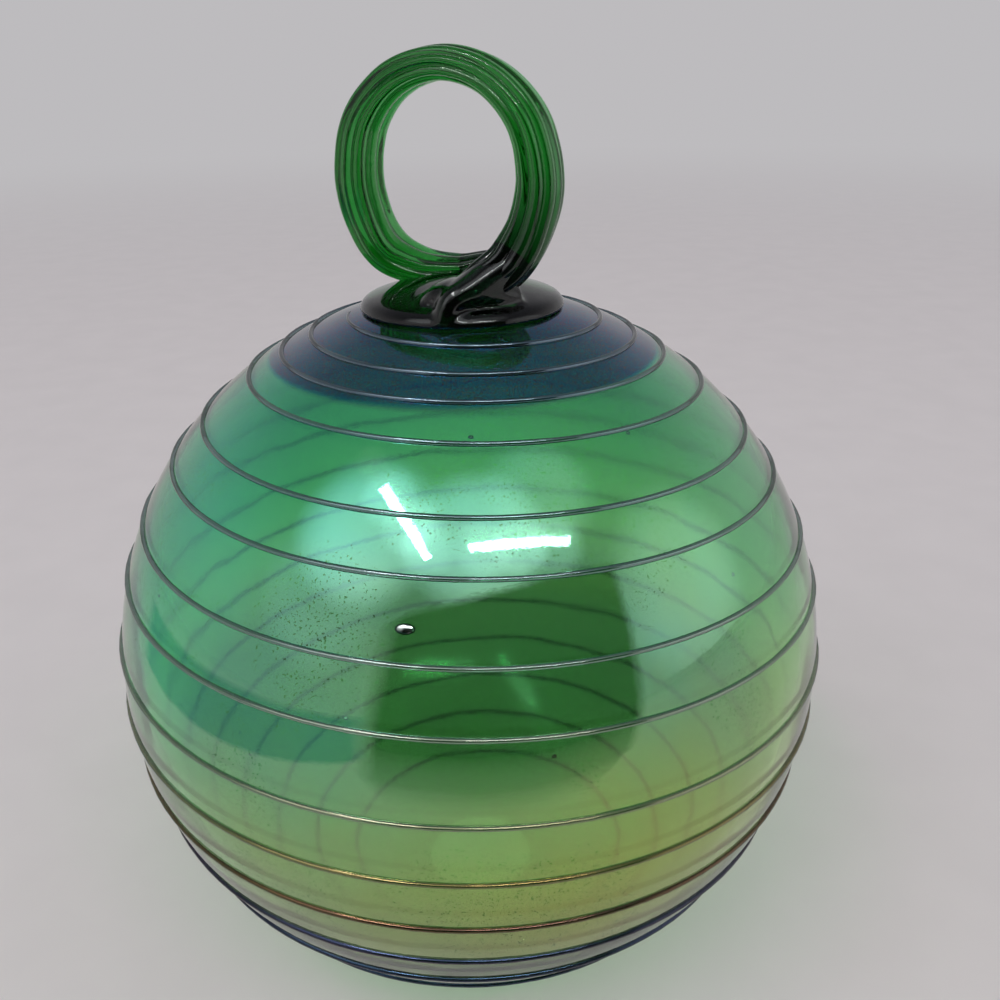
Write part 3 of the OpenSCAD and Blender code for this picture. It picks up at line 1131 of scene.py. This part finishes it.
class ORNAMENT_OT_stage(bpy.types.Operator):
    """Lay the floor, hang the lights and set up the camera"""

    bl_idname = "ornament.stage"
    bl_label = "Set stage"

    def execute(self, context):
        stage = context.scene.ornament.stage
        steps = 96
        rim = arc((0, 0), stage.floor_radius, 0, 360 - 360 / steps, steps)
        floor = new_piece("floor", [(x, y, 0) for x, y in rim], faces=[tuple(range(steps))])
        floor.data.materials.append(self.floor_paper(stage))
        flag("front_flag", (
            ((-0.06, -0.15, 0.001), (0.08, -0.15, 0.001), 0.0),
            ((-0.12, -0.20, 0.002), (0.18, -0.20, 0.002), 0.6),
            ((-0.18, -0.29, 0.02), (0.31, -0.29, 0.02), 1.0),
            ((-0.17, -0.30, 0.15), (0.34, -0.30, 0.15), 1.0),
            ((-0.17, -0.31, 0.225), (0.40, -0.31, 0.38), 1.0),
            ((-0.17, -0.31, 0.245), (0.42, -0.31, 0.42), 0.0)), (0.02, 0.025, 0.02), 0.06)
        flag("left_flag", (
            ((-0.20, 0.06, 0.0), (-0.10, -0.20, 0.018), 0.0),
            ((-0.20, 0.06, 0.003), (-0.10, -0.20, 0.023), 0.95),
            ((-0.20, 0.06, 0.040), (-0.10, -0.20, 0.060), 0.95),
            ((-0.20, 0.06, 0.044), (-0.10, -0.20, 0.066), 0.0)), (0.155, 0.31, 0.38), 0.04)
        up = stage.tube_height
        tube_light("tube_left", (-0.54, -0.33, up), (-0.33, -1.02, up), 0.075, 16.0)
        tube_light("tube_right", (0.0, -0.95, up), (0.80, -0.85, up), 0.085, 16.0)
        self.make_world(context.scene, stage)
        self.make_camera(context.scene, stage)
        context.scene.view_settings.view_transform = "Standard"
        return {"FINISHED"}

    def floor_paper(self, stage):
        """Pale paper that turns into the plain backdrop with distance."""
        material, tree = new_material("floor")
        far = tree.range(tree.vector("LENGTH", tree.place), 0.35, 1.6, smooth=True)
        fibre = tree.range(tree.noise(55.0, 3.0), 0.3, 0.7, 0.97, 1.0)
        near = tree.times(tree.minus(1.0, far), fibre)
        shade = tree.mix(near, (0, 0, 0), stage.floor_colour)
        lit = tree.mix(far, (0, 0, 0), stage.backdrop)
        shader = tree.add(
            "ShaderNodeBsdfPrincipled",
            {"Base Color": shade, "Roughness": 0.9, "Specular IOR Level": 0.0,
             "Emission Color": lit, "Emission Strength": 1.0})
        finish(tree, shader.outputs[0])
        return material

    def make_world(self, scene, stage):
        """A plain pale room for what the camera and the glass see; reflections see its ceiling."""
        world = bpy.data.worlds.new("room")
        world.use_nodes = True
        world.node_tree.nodes.clear()
        tree = Tree(world.node_tree)
        way = tree.add("ShaderNodeTexCoord").outputs["Generated"]
        wall = stage.backdrop
        room = tree.mix(
            tree.range(tree.split(way)[2], 0.15, 0.8, smooth=True), wall, (0.185, 0.192, 0.215))
        for centre, reach, level in ROOM_GLOWS:
            near = tree.vector("DOT_PRODUCT", way, Vector(centre).normalized())
            edge, full = math.cos(math.radians(reach)), math.cos(math.radians(reach * 0.3))
            share = tree.range(near, edge, full, smooth=True)
            room = tree.mix(share, room, [c * level for c in (0.97, 1.0, 1.02)], "ADD")
        path = tree.add("ShaderNodeLightPath").outputs
        straight = tree.math("MAXIMUM", path["Is Camera Ray"], path["Is Transmission Ray"])
        shade = tree.add(
            "ShaderNodeBackground", {"Color": tree.mix(straight, room, wall), "Strength": 1.0})
        end = tree.add("ShaderNodeOutputWorld")
        tree.feed(end.inputs["Surface"], shade.outputs[0])
        scene.world = world

    def make_camera(self, scene, stage):
        data = bpy.data.cameras.new("camera")
        data.lens = stage.lens
        data.sensor_width = 36.0
        data.clip_start, data.clip_end = 0.005, 20.0
        camera = bpy.data.objects.new("camera", data)
        scene.collection.objects.link(camera)
        way = (Vector(stage.camera_aim) - Vector(stage.camera_place)).to_track_quat("-Z", "Y")
        camera.matrix_world = (
            Matrix.Translation(stage.camera_place) @ way.to_matrix().to_4x4()
            @ Matrix.Rotation(stage.camera_roll, 4, "Z"))
        scene.camera = camera


class OrnamentSettings(bpy.types.PropertyGroup):
    """All sizes and colours of the ornament"""

    globe: PointerProperty(type=GlobeSizes)
    thread: PointerProperty(type=ThreadSizes)
    seal: PointerProperty(type=SealSizes)
    loop: PointerProperty(type=LoopSizes)
    seeds: PointerProperty(type=SeedSizes)
    colours: PointerProperty(type=GlassColours)
    stage: PointerProperty(type=StageSettings)


MAKERS = (ORNAMENT_OT_globe, ORNAMENT_OT_thread, ORNAMENT_OT_seal, ORNAMENT_OT_loop,
          ORNAMENT_OT_seeds, ORNAMENT_OT_stage)


class ORNAMENT_PT_panel(bpy.types.Panel):
    """Sizes, colours and makers of the ornament"""

    bl_idname = "ORNAMENT_PT_panel"
    bl_label = "Glass ball ornament"
    bl_space_type = "VIEW_3D"
    bl_region_type = "UI"
    bl_category = "Ornament"

    def draw(self, context):
        settings = context.scene.ornament
        for maker in MAKERS:
            self.layout.operator(maker.bl_idname)
        for key in OrnamentSettings.__annotations__:
            box = self.layout.box()
            box.label(text=key.capitalize())
            group = getattr(settings, key)
            for size in group.__annotations__:
                box.prop(group, size)


CLASSES = (GlobeSizes, ThreadSizes, SealSizes, LoopSizes, SeedSizes, GlassColours, StageSettings,
           OrnamentSettings, *MAKERS, ORNAMENT_PT_panel)


def register():
    for cls in CLASSES:
        bpy.utils.register_class(cls)
    bpy.types.Scene.ornament = PointerProperty(type=OrnamentSettings)


def unregister():
    del bpy.types.Scene.ornament
    for cls in reversed(CLASSES):
        bpy.utils.unregister_class(cls)


def main():
    register()
    bpy.ops.ornament.stage()
    bpy.ops.ornament.globe()
    bpy.ops.ornament.thread()
    bpy.ops.ornament.seal()
    bpy.ops.ornament.loop()
    bpy.ops.ornament.seeds()


if __name__ == "__main__":
    main()
